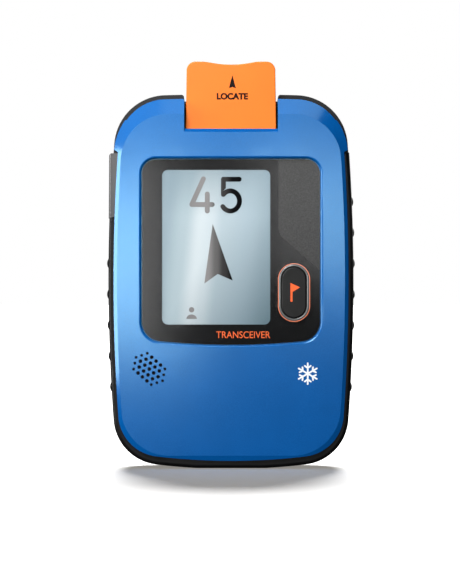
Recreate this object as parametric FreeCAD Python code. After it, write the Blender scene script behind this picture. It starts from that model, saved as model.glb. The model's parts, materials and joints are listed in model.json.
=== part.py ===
import FreeCAD, Part
import math
import os
from FreeCAD import Vector

# Avalanche transceiver: a hand-held device with a screen, a search tab that slides out of its
# top edge and three antennas at right angles. All sizes are in millimetres.
#
# Frame: X to the right as the screen is read, Y from the screen to the back, Z up along the body.
# The origin is the middle of the base, half way through the body's depth.

# ---- Body outline, seen from the front ----
HALF_WIDTH = 39.6
SIDE_RADIUS = 620.0
SIDE_CREST_Z = 60.5
TOP_CREST_Z = 121.2
TOP_RADIUS = 800.0
BASE_CREST_Z = -0.3
BASE_RADIUS = 205.0
TOP_CORNER = 17.0
BASE_CORNER = 15.6

# ---- Depths, from front to back ----
FRONT_Y = -11.0
FRONT_INNER_Y = -8.2
PARTING_Y = -2.0
REAR_INNER_Y = 9.2
REAR_Y = 11.0
OVER = 2.0                  # how far a cutting tool runs past what it cuts

# ---- Shells ----
GRIP_DEPTH = 1.75           # thickness of the rubber band along the sides
GRIP_BASE_EXTRA = 1.05      # how much thicker the band is under the base
WALL = 1.8
CROWN_RADIUS_X = 1100.0
CROWN_RADIUS_Z = 4000.0
CROWN_Z = 60.0
CREASE_HALF_WIDTH = 36.7    # inside this line the front is flat, outside it falls away
CREASE_TOP_Z = 114.2
CREASE_BASE_Z = 4.2
CREASE_CORNER = 14.0
EDGE_SLOPE = 0.62
BASE_SLOPE_SHARE = 0.35     # how much of that slope is left under the base
FULL_SLOPE_Z = 45.0         # the slope is at its full value from this height up
SURFACE_STEP = 1.5
REAR_ROUND = 7.0
SHOULDER_LOW = (37.7, 102.8)
SHOULDER_MID = (36.8, 107.2)
SHOULDER_HIGH = (34.2, 112.4)

# ---- Rubber band ----
GRIP_FRONT_Y = -8.9
GRIP_REAR_Y = 4.0
GRIP_EDGE_ROUND = 1.2
GRIP_TOP_Z = 101.9
RIDGE_RADIUS = 2.6
RIDGE_HEIGHT = 0.5
RIDGE_PITCH = 9.95
RIDGE_LOWEST_Z = 26.3
RIGHT_RIDGES = 7
LEFT_RIDGES = 5

# ---- Charging port and its cover, on the left side ----
COVER_LOW_Z = 79.6
COVER_HIGH_Z = 101.9
COVER_GAP = 0.25
COVER_FACE_LOW_X = -39.5    # the cover's outer face, straighter than the side it sits in
COVER_FACE_HIGH_X = -39.3
COVER_ROUND = 0.9
PORT_Z = 92.0
PORT_Y = 1.65

# ---- Window and screen ----
WINDOW_HALF_WIDTH = 28.9
WINDOW_TOP_Z = 99.9
WINDOW_BASE_Z = 39.7
WINDOW_BASE_RADIUS = 234.0
WINDOW_TOP_CORNER = 4.8
WINDOW_BASE_CORNER = 6.5
WINDOW_FRONT_Y = -10.15
WINDOW_REAR_Y = -9.15
FILM_FRONT_Y = -9.13        # the adhesive between window and film is this gap
FILM_REAR_Y = -9.0
LEDGE_Y = -8.8
LEDGE_WIDTH = 2.2
LIP_ROUND = 0.75
VIEW_X = -4.8
VIEW_Z = 71.35
VIEW_HALF_WIDTH = 17.45
VIEW_HALF_HEIGHT = 24.95
VIEW_CORNER = 1.9
SCREEN_REAR_Y = -6.4

# ---- Flag button ----
BUTTON_X = 20.3
BUTTON_Z = 56.7
RING_SIZE = (5.15, 9.4)     # half width and half height of each stadium
GUIDE_SIZE = (4.85, 9.1)
GUIDE_BORE = (4.12, 8.37)
KEY_SIZE = (4.0, 8.25)
FLANGE_SIZE = (4.5, 8.9)
MEMBRANE_SIZE = (5.9, 10.3)
MEMBRANE_BORE = (5.0, 9.4)

# ---- Search tab and its channel ----
SLOT_HALF_WIDTH = 15.1
SLOT_LIP_Z = 109.5
SLOT_REAR_Z = 118.6
TAB_HALF_WIDTH = 14.65
TAB_TAPER = 0.3             # how much narrower each side is at the top
TAB_CORNER = 2.9
TAB_TOP_Z = 131.4
TAB_PEAK_X = 9.5
TAB_SCOOP = 0.95            # depth of the thumb scoop in the tab's top edge
TAB_LOW_Z = 108.0
TAB_FRONT_Y = -7.4
TAB_REAR_Y = -5.2
TAB_TRAVEL = 11.3
TONGUE_LOW_Z = 100.0
TONGUE_REAR_Y = -3.2
CHANNEL_FRONT_Y = -8.2
CHANNEL_STEP_Z = 96.45
CHANNEL_LOW_Z = 86.0
CHANNEL_TOP_Z = 107.5

# ---- Speaker ----
SPEAKER_X = -26.3
SPEAKER_Z = 32.1
SPEAKER_RADIUS = 7.5
HOLE_STEP_A = (1.81, 0.645)
HOLE_STEP_B = (-0.39, -1.90)
HOLE_RINGS = 3
HOLE_RADIUS = 0.6
OUTER_HOLE_RADIUS = 0.46

# ---- Inside ----
BOARD_FRONT_Y = -1.6
BOARD_REAR_Y = 0.0
CASE_SCREWS = [(-30.5, 13.5), (30.5, 13.5), (-29.5, 107.0), (29.5, 107.0)]
BOARD_SCREWS = [(-31.0, 20.5), (30.5, 30.0), (-29.5, 99.2), (31.5, 94.0)]
ROD_Y = 4.6
ROD_Z_X = -27.5             # the upright antenna's place across the body
ROD_X_Z = 108.0             # the cross antenna's height
COIL_Y_CENTRE = (24.0, 79.0)
BATTERY_HALF_WIDTH = 19.0
BATTERY_Z = (16.0, 66.0)
LANYARD_HALF_WIDTH = 8.0
LANYARD_TOP_Z = 11.8
LANYARD_FRONT_Y = 2.2
LANYARD_BAR_Y = 7.8
LANYARD_BAR_Z = 6.0
LANYARD_BAR_RADIUS = 1.25
SWITCH_Z = 97.0
SWITCH_TRAVEL = 6.0

X_AXIS = Vector(1, 0, 0)
Y_AXIS = Vector(0, 1, 0)
Z_AXIS = Vector(0, 0, 1)


# ---- Plain shapes ----

def box(x0, x1, y0, y1, z0, z1):
    return Part.makeBox(x1 - x0, y1 - y0, z1 - z0, Vector(x0, y0, z0))


def disc(x, z, radius, y0, y1):
    """A round bar along Y."""
    return Part.makeCylinder(radius, y1 - y0, Vector(x, y0, z), Y_AXIS)


def tube(x, z, outer, inner, y0, y1):
    return disc(x, z, outer, y0, y1).cut(disc(x, z, inner, y0 - OVER, y1 + OVER))


def edges_along(shape, axis):
    """The straight edges that run parallel to an axis."""
    found = []
    for edge in shape.Edges:
        if edge.Curve.TypeId == "Part::GeomLine":
            direction = edge.tangentAt(edge.FirstParameter)
            if abs(abs(direction.dot(axis)) - 1) < 1e-6:
                found.append(edge)
    return found


def rounded_box(x0, x1, y0, y1, z0, z1, radius, axis=Y_AXIS):
    shape = box(x0, x1, y0, y1, z0, z1)
    return shape.makeFillet(radius, edges_along(shape, axis))


def stadium(size, y0, y1):
    """A pill shape round the flag button's centre: size is its half width and half height."""
    half_width, half_height = size
    return rounded_box(BUTTON_X - half_width, BUTTON_X + half_width, y0, y1,
                       BUTTON_Z - half_height, BUTTON_Z + half_height, half_width - 0.001)


def prism(points, axis_start, depth):
    """A polygon in the XZ plane, moved to y = axis_start and given depth along Y."""
    corners = [Vector(x, axis_start, z) for x, z in points]
    face = Part.Face(Part.makePolygon(corners + corners[:1]))
    return face.extrude(Vector(0, depth, 0))


def joined(shapes):
    return shapes[0].fuse(shapes[1:]).removeSplitter()


def group(shapes):
    return Part.makeCompound(shapes)


def mirrored(shape):
    return shape.mirror(Vector(0, 0, 0), X_AXIS)


# ---- Body outline ----

def side_x(z, inset):
    radius = SIDE_RADIUS - inset
    return HALF_WIDTH - SIDE_RADIUS + math.sqrt(radius ** 2 - (z - SIDE_CREST_Z) ** 2)


def top_z(x, inset):
    return TOP_CREST_Z - TOP_RADIUS + math.sqrt((TOP_RADIUS - inset) ** 2 - x ** 2)


def base_z(x, inset):
    radius = BASE_RADIUS - inset - GRIP_BASE_EXTRA * min(1, inset / GRIP_DEPTH)
    return BASE_CREST_Z + BASE_RADIUS - math.sqrt(radius ** 2 - x ** 2)


def outline_corner(end_z, inset):
    """Where the right-hand side arc meets the top or the base arc."""
    x = HALF_WIDTH
    for _ in range(12):
        z = end_z(x, inset)
        x = side_x(z, inset)
    return x, z


def slab(inset, y0, y1):
    """The body's outline, moved in by inset, from y0 to y1: four long arcs and four round corners."""
    top_x, top = outline_corner(top_z, inset)
    base_x, base = outline_corner(base_z, inset)

    def arc(x0, z0, x1, z1, x2, z2):
        return Part.Arc(Vector(x0, y0, z0), Vector(x1, y0, z1), Vector(x2, y0, z2)).toShape()

    side = side_x(SIDE_CREST_Z, inset)
    wire = Part.Wire([
        arc(-top_x, top, 0, top_z(0, inset), top_x, top),
        arc(top_x, top, side, SIDE_CREST_Z, base_x, base),
        arc(base_x, base, 0, base_z(0, inset), -base_x, base),
        arc(-base_x, base, -side, SIDE_CREST_Z, -top_x, top),
    ])
    block = Part.Face(wire).extrude(Vector(0, y1 - y0, 0))
    upper = [e for e in edges_along(block, Y_AXIS) if e.CenterOfMass.z > SIDE_CREST_Z]
    block = block.makeFillet(TOP_CORNER - inset, upper)
    lower = [e for e in edges_along(block, Y_AXIS)
             if e.CenterOfMass.z < base + 0.1 and abs(e.CenterOfMass.x) > base_x - 0.1]
    return block.makeFillet(BASE_CORNER - inset, lower)


def edges_in_plane(shape, y):
    """Every edge that lies whole in the plane at y."""
    return [e for e in shape.Edges
            if abs(e.BoundBox.YMin - y) < 1e-4 and abs(e.BoundBox.YMax - y) < 1e-4]


def envelope(y0, y1):
    """The full outline, standing on a narrow flat at z = 0."""
    return slab(0, y0, y1).common(box(-60, 60, y0, y1, 0, 140))


# ---- Front shell ----

def face_y(x, z):
    """Depth of the front face: a gentle crown."""
    return FRONT_Y + x ** 2 / (2 * CROWN_RADIUS_X) + (z - CROWN_Z) ** 2 / (2 * CROWN_RADIUS_Z)


def edge_y(x, z):
    """Depth of the sloping strip: it meets the face along the crease and falls away outside it."""
    mid_z = (CREASE_TOP_Z + CREASE_BASE_Z) / 2
    side = CREASE_HALF_WIDTH - (z - SIDE_CREST_Z) ** 2 / (2 * SIDE_RADIUS)
    across = abs(x) - (side - CREASE_CORNER)
    along = abs(z - mid_z) - (CREASE_TOP_Z - mid_z - CREASE_CORNER)
    outside = math.hypot(max(across, 0), max(along, 0)) + min(max(across, along), 0) - CREASE_CORNER
    share = BASE_SLOPE_SHARE + (1 - BASE_SLOPE_SHARE) * min(1, max(0, z) / FULL_SLOPE_Z)
    return face_y(x, z) + EDGE_SLOPE * share * outside


def space_before(depth_at):
    """Everything in front of the surface whose depth is depth_at(x, z), as a cutting tool."""
    half = HALF_WIDTH + 3
    columns = round(2 * half / SURFACE_STEP)
    rows = round((TOP_CREST_Z + 8) / SURFACE_STEP)
    grid = []
    for i in range(columns + 1):
        x = -half + 2 * half * i / columns
        heights = [-4 + SURFACE_STEP * j for j in range(rows + 1)]
        grid.append([Vector(x, depth_at(x, z), z) for z in heights])
    surface = Part.BSplineSurface()
    surface.interpolate(grid)
    return surface.toShape().extrude(Vector(0, -30, 0))


def shoulder():
    """Where the front shell reaches out beside the search tab, above the rubber band."""
    y0 = FRONT_Y - OVER
    low, mid, high = [Vector(x, y0, z) for x, z in (SHOULDER_LOW, SHOULDER_MID, SHOULDER_HIGH)]
    inner_high = Vector(30, y0, SHOULDER_HIGH[1])
    inner_low = Vector(30, y0, SHOULDER_LOW[1] - 6)
    notch = Vector(SHOULDER_LOW[0] - 1.6, y0, SHOULDER_LOW[1] - 1.0)
    wire = Part.Wire([Part.Arc(low, mid, high).toShape(), Part.makeLine(high, inner_high),
                      Part.makeLine(inner_high, inner_low), Part.makeLine(inner_low, notch),
                      Part.makeLine(notch, low)])
    return Part.Face(wire).extrude(Vector(0, PARTING_Y - y0, 0))


def front_form():
    """The front shell's outside, still square at the front."""
    body = slab(GRIP_DEPTH, FRONT_Y - OVER, PARTING_Y)
    return joined([body, shoulder(), mirrored(shoulder())])


def window_outline(grow, y):
    """The window's outline in the plane at y, moved out by grow."""
    half = WINDOW_HALF_WIDTH + grow
    radius = WINDOW_BASE_RADIUS + grow
    base = WINDOW_BASE_Z - grow
    sag = radius - math.sqrt(radius ** 2 - half ** 2)
    top = WINDOW_TOP_Z + grow
    left_low = Vector(-half, y, base + sag)
    right_low = Vector(half, y, base + sag)
    wire = Part.Wire([
        Part.makeLine(Vector(-half, y, top), Vector(half, y, top)),
        Part.makeLine(Vector(half, y, top), right_low),
        Part.Arc(right_low, Vector(0, y, base), left_low).toShape(),
        Part.makeLine(left_low, Vector(-half, y, top)),
    ])
    block = Part.Face(wire).extrude(Y_AXIS)
    upper = [e for e in edges_along(block, Y_AXIS) if e.CenterOfMass.z > top - 0.1]
    block = block.makeFillet(WINDOW_TOP_CORNER + grow, upper)
    lower = [e for e in edges_along(block, Y_AXIS)
             if e.CenterOfMass.z < base + sag + 0.1 and abs(e.CenterOfMass.x) > half - 0.1]
    block = block.makeFillet(WINDOW_BASE_CORNER + grow, lower)
    faces = [f for f in block.Faces if abs(f.BoundBox.YMin - y) < 1e-4 and abs(f.BoundBox.YMax - y) < 1e-4]
    return faces[0]


def window_slab(grow, y0, y1):
    return window_outline(grow, y0).extrude(Vector(0, y1 - y0, 0))


def speaker_holes():
    """The pattern of small holes, a six-sided field on a slightly turned lattice."""
    holes = []
    for i in range(-HOLE_RINGS, HOLE_RINGS + 1):
        for j in range(-HOLE_RINGS, HOLE_RINGS + 1):
            if abs(i - j) <= 2:
                x = SPEAKER_X + i * HOLE_STEP_A[0] + j * HOLE_STEP_B[0]
                z = SPEAKER_Z + i * HOLE_STEP_A[1] + j * HOLE_STEP_B[1]
                outermost = max(abs(i), abs(j)) == HOLE_RINGS
                radius = OUTER_HOLE_RADIUS if outermost else HOLE_RADIUS
                holes.append(disc(x, z, radius, FRONT_Y - OVER, FRONT_INNER_Y + OVER))
    return holes


def slot_bevel():
    """The bright bevel along the slot's lower edge."""
    y0 = FRONT_Y - OVER
    profile = [Vector(-SLOT_HALF_WIDTH, y0, SLOT_LIP_Z - 3.6),
               Vector(-SLOT_HALF_WIDTH, FRONT_Y + 1.35, SLOT_LIP_Z + 0.05),
               Vector(-SLOT_HALF_WIDTH, y0, SLOT_LIP_Z + 0.05)]
    face = Part.Face(Part.makePolygon(profile + profile[:1]))
    return face.extrude(Vector(2 * SLOT_HALF_WIDTH, 0, 0))


def front_cavity():
    """The hollow behind the front face, clear of the slot and the falling upper edge."""
    hollow = slab(GRIP_DEPTH + WALL, FRONT_INNER_Y, PARTING_Y)
    solid_parts = [
        box(-SLOT_HALF_WIDTH - 2, SLOT_HALF_WIDTH + 2, FRONT_Y, PARTING_Y, CHANNEL_TOP_Z, 125),
        box(-60, 60, FRONT_Y, -5.6, 111.0, 125),
    ]
    for x, z in CASE_SCREWS:
        solid_parts.append(disc(x, z, 2.9, FRONT_INNER_Y, PARTING_Y))
    for x, z in BOARD_SCREWS:
        solid_parts.append(disc(x, z, 2.0, FRONT_INNER_Y, BOARD_FRONT_Y))
    solid_parts.append(tube(SPEAKER_X, SPEAKER_Z, SPEAKER_RADIUS + 1.1, SPEAKER_RADIUS + 0.1,
                            FRONT_INNER_Y, -6.0))
    return hollow.cut(solid_parts)


def front_shell():
    shell = front_form().cut([space_before(face_y), space_before(edge_y)])
    shell = shell.cut(window_slab(0, FRONT_Y - OVER, LEDGE_Y))
    rim = [e for e in shell.Edges
           if e.BoundBox.YMax < FRONT_Y + 0.6 and abs(e.CenterOfMass.x) < WINDOW_HALF_WIDTH + 0.1
           and WINDOW_BASE_Z - 0.1 < e.CenterOfMass.z < WINDOW_TOP_Z + 0.1]
    shell = shell.makeFillet(LIP_ROUND, rim)
    tools = [
        front_cavity(),
        window_slab(-LEDGE_WIDTH, FRONT_Y - OVER, FRONT_INNER_Y + 0.1),
        box(-SLOT_HALF_WIDTH, SLOT_HALF_WIDTH, FRONT_Y - OVER, PARTING_Y, SLOT_LIP_Z, 125),
        slot_bevel(),
        box(-TAB_HALF_WIDTH - 0.2, TAB_HALF_WIDTH + 0.2, TAB_FRONT_Y - 0.15, PARTING_Y,
            CHANNEL_TOP_Z - 1, SLOT_LIP_Z + 1),
        disc(SPEAKER_X, SPEAKER_Z, 6.6, -9.2, FRONT_INNER_Y + 0.1),
    ]
    for x, z in CASE_SCREWS:
        tools.append(disc(x, z, 1.75, -6.4, PARTING_Y + OVER))
    for x, z in BOARD_SCREWS:
        tools.append(disc(x, z, 0.8, -6.6, BOARD_FRONT_Y + OVER))
    return shell.cut(tools + speaker_holes())


# ---- Rear shell ----

def band_space(y0, y1):
    """The ring that the rubber band and the port cover fill, below the shoulders."""
    ring = slab(0, y0, y1).cut(slab(GRIP_DEPTH, y0 - OVER, y1 + OVER))
    return ring.common(box(-60, 60, y0, y1, -OVER, GRIP_TOP_Z))


def rear_cavity():
    hollow = slab(GRIP_DEPTH + WALL, PARTING_Y - OVER, REAR_INNER_Y)
    hollow = hollow.makeFillet(REAR_ROUND - WALL, edges_in_plane(hollow, REAR_INNER_Y))
    solid_parts = [
        box(-LANYARD_HALF_WIDTH - 1.6, LANYARD_HALF_WIDTH + 1.6, LANYARD_FRONT_Y - 1.2, REAR_Y,
            0, LANYARD_TOP_Z + 1.6),
        box(-14.5, 14.5, 7.6, REAR_Y, SWITCH_Z - 5.8, SWITCH_Z + 5.8),
    ]
    for x, z in CASE_SCREWS:
        solid_parts.append(disc(x, z, 3.0, PARTING_Y - OVER, REAR_Y))
    return hollow.cut(solid_parts)


def switch_recess():
    return rounded_box(-13, 13, 8.9, REAR_Y + OVER, SWITCH_Z - 4.6, SWITCH_Z + 4.6, 2.0)


def notched_rear():
    """The rear shell's outside with the tab's notch, its upper edges rounded."""
    shell = envelope(PARTING_Y, REAR_Y)
    shell = shell.makeFillet(REAR_ROUND, edges_in_plane(shell, REAR_Y))
    half = SLOT_HALF_WIDTH + 0.2
    shell = shell.cut(box(-half, half, PARTING_Y - OVER, REAR_Y + OVER, SLOT_REAR_Z, 125))
    upper = [e for e in shell.Edges
             if e.BoundBox.ZMax > SLOT_REAR_Z + 1 and abs(abs(e.BoundBox.Center.x) - half) < 0.01
             and e.BoundBox.XLength < 0.01 and e.BoundBox.YLength > 1]
    return shell.makeFillet(0.8, upper)


def rear_shell():
    shell = notched_rear()
    tools = [
        rear_cavity(),
        band_space(PARTING_Y - OVER, GRIP_REAR_Y),
        seal_ring(),
        rounded_box(-LANYARD_HALF_WIDTH, LANYARD_HALF_WIDTH, LANYARD_FRONT_Y, REAR_Y + OVER,
                    -20, LANYARD_TOP_Z, 1.5),
        lanyard_bar(),
        switch_recess(),
        rounded_box(-20.1, 20.1, REAR_Y - 0.3, REAR_Y + OVER, 71.9, 86.1, 1.6),
        port_opening(),
    ]
    for x, z in CASE_SCREWS:
        tools.append(disc(x, z, 1.4, PARTING_Y - OVER, REAR_Y + OVER))
        tools.append(disc(x, z, 2.4, 8.6, REAR_Y + OVER))
    return shell.cut(tools)


def seal_ring():
    """The rubber seal in the rear shell's rim."""
    ring = slab(2.2, PARTING_Y, PARTING_Y + 0.9)
    return ring.cut(slab(3.0, PARTING_Y - OVER, PARTING_Y + OVER))


# ---- Rubber band ----

def ridges():
    """Finger ridges along both sides, more of them on the right."""
    shapes = []
    for sign, count in ((1, RIGHT_RIDGES), (-1, LEFT_RIDGES)):
        for i in range(count):
            z = RIDGE_LOWEST_Z + i * RIDGE_PITCH
            x = side_x(z, 0) + RIDGE_HEIGHT - RIDGE_RADIUS
            ridge = disc(sign * x, z, RIDGE_RADIUS, GRIP_FRONT_Y + 0.6, GRIP_REAR_Y)
            rim = edges_in_plane(ridge, GRIP_FRONT_Y + 0.6)
            shapes.append(ridge.makeFillet(1.6, rim))
    return shapes


def cover_region(gap):
    """The stretch of the left side that the port cover takes."""
    low = COVER_LOW_Z - gap
    high = COVER_HIGH_Z + gap
    depth = GRIP_REAR_Y + gap - GRIP_FRONT_Y + 1
    return prism([(-45, low - 0.6), (-30, low + 3.2), (-30, high), (-45, high)],
                 GRIP_FRONT_Y - 1, depth)


def rounded_band():
    outer = envelope(GRIP_FRONT_Y, GRIP_REAR_Y)
    return outer.makeFillet(GRIP_EDGE_ROUND, edges_in_plane(outer, GRIP_FRONT_Y))


def grip_band():
    """One rubber moulding that runs down both sides and under the base."""
    band = rounded_band().common(box(-60, 60, -20, 20, -1, GRIP_TOP_Z + 1))
    band = band.fuse(ridges())
    tools = [
        slab(GRIP_DEPTH, GRIP_FRONT_Y - OVER, GRIP_REAR_Y + OVER),
        shoulder(),
        prism([(30, 110), (30, 94.5), (45, 109.5)], GRIP_FRONT_Y - 1, 20),
        box(30, 45, -20, 20, GRIP_TOP_Z, 110),
        box(-45, -30, -20, 20, COVER_LOW_Z + 3.5, 110),
        cover_region(0),
        rounded_box(-LANYARD_HALF_WIDTH, LANYARD_HALF_WIDTH, LANYARD_FRONT_Y, REAR_Y + OVER,
                    -20, LANYARD_TOP_Z, 1.5),
    ]
    return band.cut(tools)


# ---- Charging port ----

def port_opening():
    """The hole through the left wall that the socket and the cover's plug share."""
    return rounded_box(-42, -34.0, PORT_Y - 1.95, PORT_Y + 1.95, PORT_Z - 5.4, PORT_Z + 5.4,
                       1.8, X_AXIS)


def usb_socket():
    shell = rounded_box(-35.4, -28.2, PORT_Y - 1.65, PORT_Y + 1.65, PORT_Z - 4.6, PORT_Z + 4.6,
                        1.5, X_AXIS)
    mouth = rounded_box(-36, -30.4, PORT_Y - 1.3, PORT_Y + 1.3, PORT_Z - 4.2, PORT_Z + 4.2,
                        1.2, X_AXIS)
    tongue = box(-34.6, -30.4, PORT_Y - 0.35, PORT_Y + 0.35, PORT_Z - 3.3, PORT_Z + 3.3)
    return joined([shell.cut(mouth), tongue])


def usb_seal():
    """The rubber ring between the socket's mouth and the case wall."""
    outer = rounded_box(-35.2, -34.2, PORT_Y - 1.95, PORT_Y + 1.95, PORT_Z - 5.0, PORT_Z + 5.0,
                        1.8, X_AXIS)
    inner = rounded_box(-36, -34.0, PORT_Y - 1.65, PORT_Y + 1.65, PORT_Z - 4.6, PORT_Z + 4.6,
                        1.5, X_AXIS)
    return outer.cut(inner)


def cover_face():
    """The cover's outer body, which stands a little proud of the side near its top."""
    high = COVER_HIGH_Z - COVER_GAP
    low = COVER_LOW_Z - OVER
    inner_x = -36.0
    block = prism([(COVER_FACE_HIGH_X, high), (COVER_FACE_LOW_X, low), (inner_x, low), (inner_x, high)],
                  GRIP_FRONT_Y, GRIP_REAR_Y - COVER_GAP - GRIP_FRONT_Y)
    rim = [e for e in block.Edges if e.CenterOfMass.x < COVER_FACE_HIGH_X + 0.01]
    return block.makeFillet(COVER_ROUND, [e for e in rim if e.CenterOfMass.z > low + 1])


def usb_cover():
    """The flap over the charging port, with a plug on its inner face and a thumb dimple at the top."""
    flap = rounded_band().fuse(cover_face())
    flap = flap.cut(slab(GRIP_DEPTH - 0.05, GRIP_FRONT_Y - OVER, GRIP_REAR_Y + OVER))
    flap = flap.common(cover_region(-COVER_GAP))
    plug = rounded_box(-38.2, -36.1, PORT_Y - 1.2, PORT_Y + 1.2, PORT_Z - 4.4, PORT_Z + 4.0,
                       1.0, X_AXIS)
    dimple = Part.makeSphere(6.0, Vector(-44.3, -2.0, COVER_HIGH_Z - 3.5))
    return joined([flap, plug]).cut(dimple)


# ---- Window and screen ----

def display_window():
    window = window_slab(0, WINDOW_FRONT_Y, WINDOW_REAR_Y)
    window = window.makeChamfer(0.15, edges_in_plane(window, WINDOW_FRONT_Y))
    return window.cut(stadium(RING_SIZE, FRONT_Y - OVER, 0))


def mask_film():
    """The printed film behind the window, clear where the screen shows."""
    film = window_slab(-0.2, FILM_FRONT_Y, FILM_REAR_Y)
    view = rounded_box(VIEW_X - VIEW_HALF_WIDTH, VIEW_X + VIEW_HALF_WIDTH, FRONT_Y, 0,
                       VIEW_Z - VIEW_HALF_HEIGHT, VIEW_Z + VIEW_HALF_HEIGHT, VIEW_CORNER)
    return film.cut([view, stadium(RING_SIZE, FRONT_Y - OVER, 0)])


def window_gasket():
    ring = window_slab(-0.3, FILM_REAR_Y, LEDGE_Y)
    return ring.cut(window_slab(-LEDGE_WIDTH + 0.2, FRONT_Y, 0))


def screen_box(margin, y0, y1, top, low_margin):
    """A plate behind the window's clear area: margin on both sides, up to top."""
    return box(VIEW_X - VIEW_HALF_WIDTH - margin, VIEW_X + VIEW_HALF_WIDTH + margin, y0, y1,
               VIEW_Z - VIEW_HALF_HEIGHT - low_margin, top)


def lcd_glass():
    return screen_box(0.9, FILM_REAR_Y, FILM_REAR_Y + 0.75, 97.3, 3.0)


def lcd_backlight():
    return screen_box(0.5, FILM_REAR_Y + 0.75, SCREEN_REAR_Y, CHANNEL_STEP_Z - 1.1, 2.0)


def lcd_frame():
    outer = screen_box(1.4, FILM_REAR_Y + 0.75, SCREEN_REAR_Y + 0.15, CHANNEL_STEP_Z - 0.1, 3.1)
    return outer.cut(lcd_backlight().fuse(screen_box(0.5, SCREEN_REAR_Y, 0, CHANNEL_STEP_Z - 1.1, 2.0)))


def lcd_flex():
    """The flat cable from the screen's lower edge back to the board."""
    top = VIEW_Z - VIEW_HALF_HEIGHT - 3.0
    low = top - 0.8
    profile = [(FILM_REAR_Y + 0.4, top), (FILM_REAR_Y + 0.6, top),
               (FILM_REAR_Y + 0.6, low + 0.2), (BOARD_FRONT_Y - 1.0, low + 0.2),
               (BOARD_FRONT_Y - 1.0, low), (FILM_REAR_Y + 0.4, low)]
    corners = [Vector(VIEW_X - 8, y, z) for y, z in profile]
    strip = Part.Face(Part.makePolygon(corners + corners[:1])).extrude(Vector(16, 0, 0))
    socket = box(VIEW_X - 9, VIEW_X + 9, BOARD_FRONT_Y - 1.0, BOARD_FRONT_Y, low - 2.4, low + 0.8)
    return joined([strip, socket])


# ---- Flag button ----

def flag_button():
    key = stadium(KEY_SIZE, -10.6, -8.5)
    key = key.makeFillet(0.45, edges_in_plane(key, -10.6))
    return joined([key, stadium(FLANGE_SIZE, -8.6, -8.0)])


def button_ring():
    """The coloured ring round the button, set into the window."""
    return stadium(RING_SIZE, -10.35, FILM_REAR_Y).cut(stadium(GUIDE_SIZE, FRONT_Y, 0))


def button_light_guide():
    """The clear rim inside the ring."""
    front = -10.45
    guide = stadium(GUIDE_SIZE, front, -8.75).cut(stadium(GUIDE_BORE, FRONT_Y, 0))
    return guide.makeFillet(0.3, edges_in_plane(guide, front))


def button_membrane():
    """A silicone cup that keeps water out behind the key."""
    cup = stadium(MEMBRANE_SIZE, FILM_REAR_Y, -6.8)
    return cup.cut(stadium(MEMBRANE_BORE, FRONT_Y, -7.35))


def button_switch():
    case = box(BUTTON_X - 3, BUTTON_X + 3, -5.2, BOARD_FRONT_Y, BUTTON_Z - 3, BUTTON_Z + 3)
    return joined([case, disc(BUTTON_X, BUTTON_Z, 1.7, -6.8, -5.2)])


# ---- Speaker ----

def speaker_mesh():
    return disc(SPEAKER_X, SPEAKER_Z, 6.6, -9.2, -9.05)


def speaker_gasket():
    return tube(SPEAKER_X, SPEAKER_Z, 6.6, 5.6, -9.05, FRONT_INNER_Y)


def speaker_frame():
    case = disc(SPEAKER_X, SPEAKER_Z, SPEAKER_RADIUS, FRONT_INNER_Y, -4.8)
    return case.cut(disc(SPEAKER_X, SPEAKER_Z, 6.3, FRONT_Y, -5.4)).cut(
        disc(SPEAKER_X, SPEAKER_Z, 3.6, FRONT_Y, 0))


def speaker_cone():
    """A shallow paper dome on a flat surround."""
    surround = tube(SPEAKER_X, SPEAKER_Z, 6.3, 4.2, -7.6, -7.35)
    dome = Part.makeSphere(9.0, Vector(SPEAKER_X, 0.35, SPEAKER_Z))
    dome = dome.cut(Part.makeSphere(8.7, Vector(SPEAKER_X, 0.35, SPEAKER_Z)))
    dome = dome.common(disc(SPEAKER_X, SPEAKER_Z, 4.3, -9.0, -7.35))
    return joined([surround, dome])


def speaker_magnet():
    return disc(SPEAKER_X, SPEAKER_Z, 3.6, -7.0, -4.4)


def wire_run(points, radius, bend):
    """A thin insulated wire along straight runs joined by round bends."""
    edges = []
    start = points[0]
    for before, corner, after in zip(points, points[1:], points[2:]):
        inward = (before - corner).normalize()
        onward = (after - corner).normalize()
        half_angle = inward.getAngle(onward) / 2
        setback = bend / math.tan(half_angle)
        first = corner + inward * setback
        last = corner + onward * setback
        centre_line = (inward + onward).normalize()
        middle = corner + centre_line * (bend / math.sin(half_angle) - bend)
        edges.append(Part.makeLine(start, first))
        edges.append(Part.Arc(first, middle, last).toShape())
        start = last
    edges.append(Part.makeLine(start, points[-1]))
    path = Part.Wire(edges)
    ring = Part.Wire(Part.makeCircle(radius, points[0], points[1] - points[0]))
    return path.makePipeShell([ring], True, True)


def speaker_leads():
    leads = []
    for z in (SPEAKER_Z - 1.5, SPEAKER_Z + 1.5):
        points = [Vector(SPEAKER_X + 5.5, -4.8, z), Vector(SPEAKER_X + 5.5, -3.2, z),
                  Vector(SPEAKER_X + 9.5, -3.2, z), Vector(SPEAKER_X + 9.5, BOARD_FRONT_Y, z)]
        leads.append(wire_run(points, 0.4, 0.7))
    return group(leads)


# ---- Search tab ----

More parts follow.
